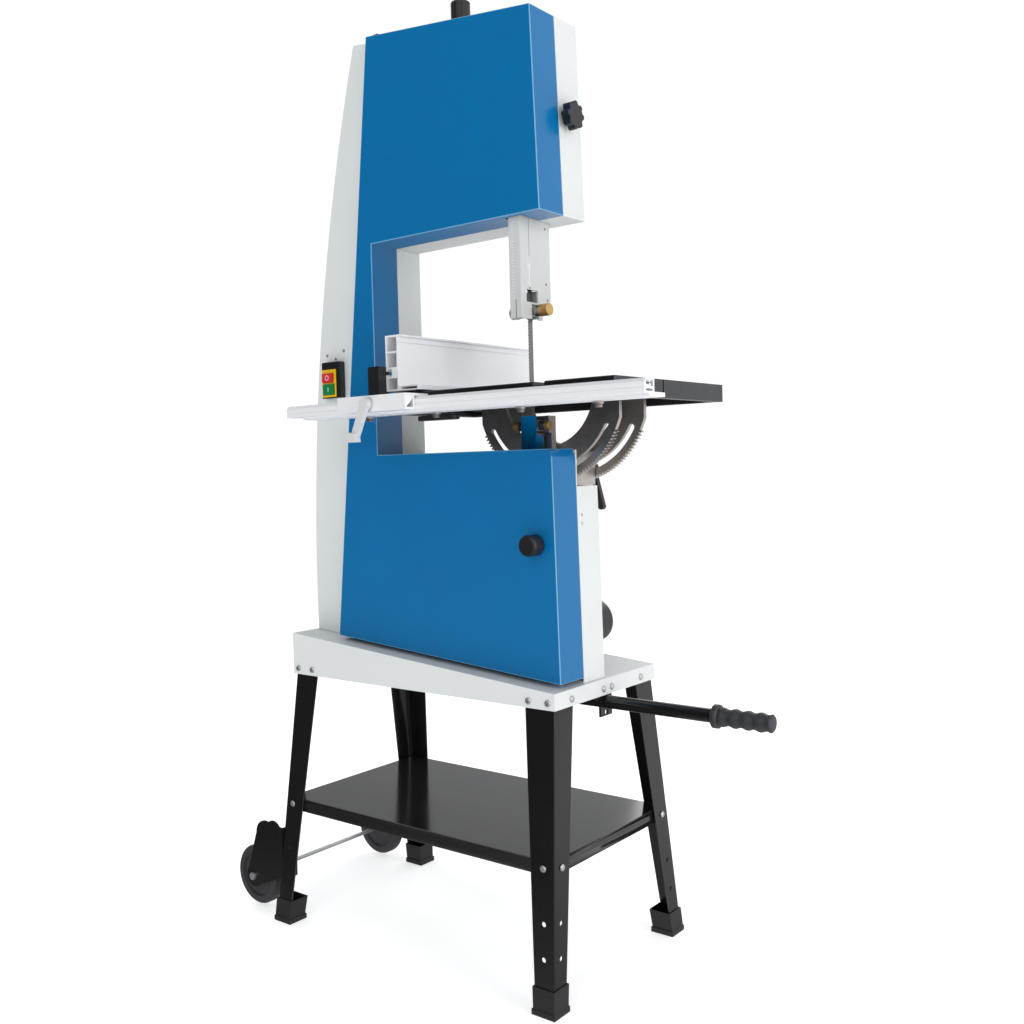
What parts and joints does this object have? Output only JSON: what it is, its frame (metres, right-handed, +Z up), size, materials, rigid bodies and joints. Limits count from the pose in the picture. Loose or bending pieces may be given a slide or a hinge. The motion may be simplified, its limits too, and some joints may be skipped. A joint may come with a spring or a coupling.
{
  "type": "band saw",
  "caption": "Two-wheel woodworking band saw on a splayed steel stand, with a tilting cast table, a rip fence, a rising blade guide, a hinged cover and a pull-out transport handle.",
  "frame": {"origin": "on the floor, at the middle of the whole footprint: half way between the transport wheels and the end of the pull-out grip, and half way between the fence clamp and the rear feet", "axes": "+Z up, -Y towards the operator and the door, +X towards the table side, away from the column"},
  "size_m": [1.059, 0.478, 1.644],
  "materials": {
    "blue_coat": "orange-peel powder coat",
    "grey_white_coat": "light powder coat",
    "black_coat": "satin black powder coat",
    "rubber_black": "moulded",
    "zinc": "bright zinc plate",
    "castor_plastic": "moulded nylon",
    "grip_rubber": "moulded grip",
    "black_plastic": "moulded",
    "cast_alloy": "machined casting",
    "wheel_tyre": "ground",
    "steel": "turned",
    "blade_steel": "polished band",
    "spring_steel": "oil tempered",
    "motor_grey": "enamel",
    "belt_rubber": "ribbed belt",
    "extrusion": "anodised",
    "iron_table": "ground",
    "iron_raw": "as cast",
    "insert_alloy": "turned",
    "brass": "knurled",
    "lever_grey": "moulded",
    "red_plastic": "moulded",
    "green_plastic": "moulded"
  },
  "bodies": {
    "machine": {"plinth": "grey_white_coat", "leg_front_left": "black_coat", "leg_front_right": "black_coat", "leg_rear_left": "black_coat", "leg_rear_right": "black_coat", "shelf": "black_coat", "rubber_feet": "rubber_black", "stand_bolts": "zinc", "wheel_brackets": "black_coat", "transport_axle": "zinc", "handle_bracket": "black_coat", "column": "grey_white_coat", "blade_channel": "grey_white_coat", "upper_housing": "grey_white_coat", "lower_housing": "grey_white_coat", "hinge_pins": "black_coat", "saw_blade": "blade_steel", "motor": "motor_grey", "drive_belt": "belt_rubber", "dust_port": "black_plastic", "table_bracket": "iron_raw", "lower_guide_block": "iron_raw", "lower_guide_pins": "steel", "lower_guide_knobs": "brass", "switch_box": "black_plastic", "tension_spring": "spring_steel"},
    "door_leaf": {"door": "blue_coat"},
    "door_catch": {"door_knob": "black_plastic"},
    "tension_carriage": {"tension_block": "iron_raw"},
    "tension_adjuster": {"tension_screw": "steel", "tension_knob": "black_plastic"},
    "upper_band_wheel": {"upper_wheel": "cast_alloy", "upper_tyre": "wheel_tyre"},
    "lower_band_wheel": {"lower_wheel": "cast_alloy", "lower_tyre": "wheel_tyre", "lower_shaft": "steel"},
    "motor_rotor": {"motor_pulley": "cast_alloy"},
    "guide_carriage": {"guide_post": "extrusion", "upper_guide_block": "cast_alloy", "upper_guide_pins": "steel", "upper_guide_knobs": "brass"},
    "guide_crank": {"guide_pinion": "steel", "guide_knob": "black_plastic"},
    "table_top": {"table": "iron_table", "table_insert": "insert_alloy", "front_trunnion": "iron_raw", "rear_trunnion": "iron_raw", "rail": "extrusion"},
    "tilt_crank": {"tilt_pinion": "steel", "tilt_knob": "black_plastic"},
    "tilt_clamp": {"tilt_lock_lever": "black_plastic"},
    "fence_carriage": {"fence_carrier": "black_plastic", "fence": "extrusion"},
    "fence_clamp": {"fence_clamp_lever": "lever_grey"},
    "start_push": {"start_button": "green_plastic"},
    "stop_push": {"stop_button": "red_plastic"},
    "castor_front": {"transport_wheel_front": "castor_plastic"},
    "castor_rear": {"transport_wheel_rear": "castor_plastic"},
    "pull_handle": {"handle_bar": "black_coat", "handle_grip": "grip_rubber"}
  },
  "joints": [
    {"name": "door_swing", "type": "hinge", "parent": "machine", "child": "door_leaf", "pos_m": [-0.2652, -0.061, 0.54], "axis": [-0.1088, 0, -0.9941], "range_deg": [0, 100]},
    {"name": "door_knob_turn", "type": "hinge", "parent": "door_leaf", "child": "door_catch", "pos_m": [0.1895, -0.087, 0.7186], "axis": [0, -1, 0], "range_deg": [0, 90]},
    {"name": "tension_slide", "type": "slide", "parent": "machine", "child": "tension_carriage", "axis": [0, 0, 1], "range_m": [-0.008, 0], "deforming": ["tension_spring"]},
    {"name": "tension_screw_turn", "type": "hinge", "parent": "machine", "child": "tension_adjuster", "pos_m": [-0.011, 0.002, 1.6], "axis": [0, 0, 1], "range_deg": [0, 1650]},
    {"name": "lower_wheel_spin", "type": "hinge", "parent": "machine", "child": "lower_band_wheel", "pos_m": [-0.011, -0.001, 0.695], "axis": [0, 1, 0], "continuous": true},
    {"name": "upper_wheel_spin", "type": "hinge", "parent": "tension_carriage", "child": "upper_band_wheel", "pos_m": [-0.011, -0.031, 1.41], "axis": [0, 1, 0], "continuous": true},
    {"name": "motor_spin", "type": "hinge", "parent": "machine", "child": "motor_rotor", "pos_m": [-0.1435, -0.001, 0.6], "axis": [0, 1, 0], "continuous": true},
    {"name": "guide_post_slide", "type": "slide", "parent": "machine", "child": "guide_carriage", "axis": [0, 0, 1], "range_m": [-0.078, 0.075]},
    {"name": "guide_knob_turn", "type": "hinge", "parent": "machine", "child": "guide_crank", "pos_m": [0.2115, -0.0045, 1.4], "axis": [1, 0, 0], "range_deg": [-374, 374]},
    {"name": "table_tilt", "type": "hinge", "parent": "machine", "child": "table_top", "pos_m": [0.1495, 0.039, 0.968], "axis": [0, 1, 0], "range_deg": [-5, 45]},
    {"name": "tilt_knob_turn", "type": "hinge", "parent": "machine", "child": "tilt_crank", "pos_m": [0.08011, 0.079, 0.81918], "axis": [0, 1, 0], "range_deg": [-575, 70]},
    {"name": "tilt_lock_turn", "type": "hinge", "parent": "machine", "child": "tilt_clamp", "pos_m": [0.17715, 0.089, 0.83791], "axis": [0, 1, 0], "range_deg": [0, 75]},
    {"name": "fence_slide", "type": "slide", "parent": "table_top", "child": "fence_carriage", "axis": [-1, 0, 0], "range_m": [-0.105, 0.085]},
    {"name": "fence_clamp_turn", "type": "hinge", "parent": "fence_carriage", "child": "fence_clamp", "pos_m": [-0.0355, -0.229, 0.95], "axis": [0, 1, 0], "range_deg": [0, 75]},
    {"name": "start_press", "type": "slide", "parent": "machine", "child": "start_push", "axis": [0, 1, 0], "range_m": [0, 0.003], "stiffness_N_per_m": 200},
    {"name": "stop_press", "type": "slide", "parent": "machine", "child": "stop_push", "axis": [0, 1, 0], "range_m": [0, 0.0035], "stiffness_N_per_m": 200},
    {"name": "castor_front_spin", "type": "hinge", "parent": "machine", "child": "castor_front", "pos_m": [-0.4725, -0.125, 0.062], "axis": [0, 1, 0], "continuous": true},
    {"name": "castor_rear_spin", "type": "hinge", "parent": "machine", "child": "castor_rear", "pos_m": [-0.4725, 0.203, 0.062], "axis": [0, 1, 0], "continuous": true},
    {"name": "handle_slide", "type": "slide", "parent": "machine", "child": "pull_handle", "axis": [1, 0, 0], "range_m": [-0.18, 0]}
  ],
  "couplings": [
    {"joint": "tension_screw_turn", "follows": "tension_slide", "rad_per_m": -3590.4},
    {"joint": "upper_wheel_spin", "follows": "lower_wheel_spin", "ratio": 1},
    {"joint": "motor_spin", "follows": "lower_wheel_spin", "ratio": 1.8333},
    {"joint": "guide_knob_turn", "follows": "guide_post_slide", "rad_per_m": -83.333},
    {"joint": "tilt_knob_turn", "follows": "table_tilt", "ratio": -12.667}
  ]
}
